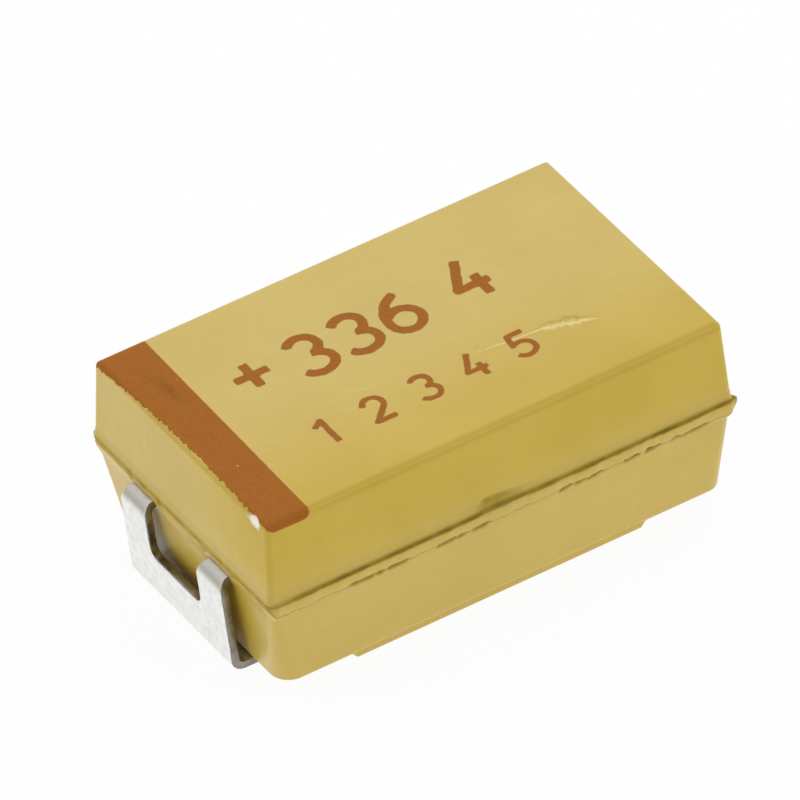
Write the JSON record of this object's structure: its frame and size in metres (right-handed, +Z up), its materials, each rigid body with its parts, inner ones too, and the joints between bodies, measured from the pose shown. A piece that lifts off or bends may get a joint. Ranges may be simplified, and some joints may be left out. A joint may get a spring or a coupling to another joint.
{
  "type": "tantalum capacitor",
  "caption": "Moulded surface-mount tantalum capacitor: a drafted yellow epoxy block with a polarity band, held to a circuit board by folded tin-plated terminals at its ends.",
  "frame": {"origin": "middle of the footprint on the circuit board, midway between the terminals", "axes": "+Z up from the board, X along the length with the banded anode end at -X, Y across the width"},
  "size_m": [0.0072, 0.0044, 0.0029],
  "materials": {
    "moulded_case": "fine matt moulded epoxy, drafted sides, ink band and figures on top",
    "tin_plate": "satin tin plating with fine handling marks",
    "tantalum": "porous sintered metal, dull",
    "tantalum_wire": "drawn wire, satin",
    "ptfe": "waxy white",
    "manganese_dioxide": "dull black crust",
    "graphite": "dull dark grey with a faint sheen",
    "silver_paint": "matt silver paint",
    "silver_glue": "silver-filled adhesive, dull"
  },
  "bodies": {
    "root": {"moulded_case": "moulded_case", "anode_terminal": "tin_plate", "cathode_terminal": "tin_plate", "tantalum_pellet": "tantalum", "anode_wire": "tantalum_wire", "insulating_washer": "ptfe", "manganese_dioxide_coat": "manganese_dioxide", "graphite_coat": "graphite", "silver_coat": "silver_paint", "silver_adhesive": "silver_glue"}
  },
  "joints": []
}
